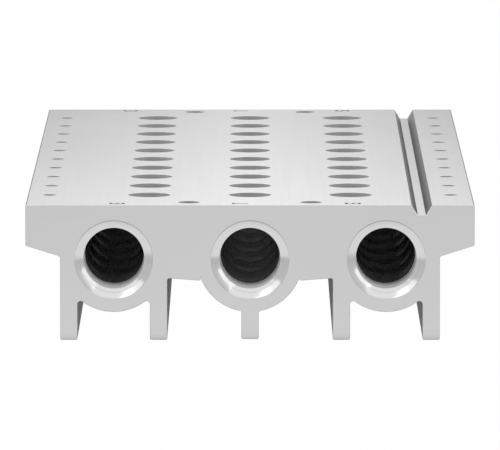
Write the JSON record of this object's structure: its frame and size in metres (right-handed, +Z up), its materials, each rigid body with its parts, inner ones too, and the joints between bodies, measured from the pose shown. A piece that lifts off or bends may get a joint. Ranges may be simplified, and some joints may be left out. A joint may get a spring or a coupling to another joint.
{
  "type": "air manifold block",
  "caption": "Extruded aluminium air manifold bar with rows of valve ports on top, three through galleries with threaded ends, legs underneath and a label groove.",
  "frame": {"origin": "centre of the footprint, at the height of the feet", "axes": "+X across the bar towards the grooved side, +Y along the bar from the front end to the rear end, +Z up to the valve face"},
  "size_m": [0.11, 0.246, 0.0332],
  "materials": {
    "aluminium": "satin machined"
  },
  "bodies": {
    "root": {"manifold_block": "aluminium"}
  },
  "joints": []
}
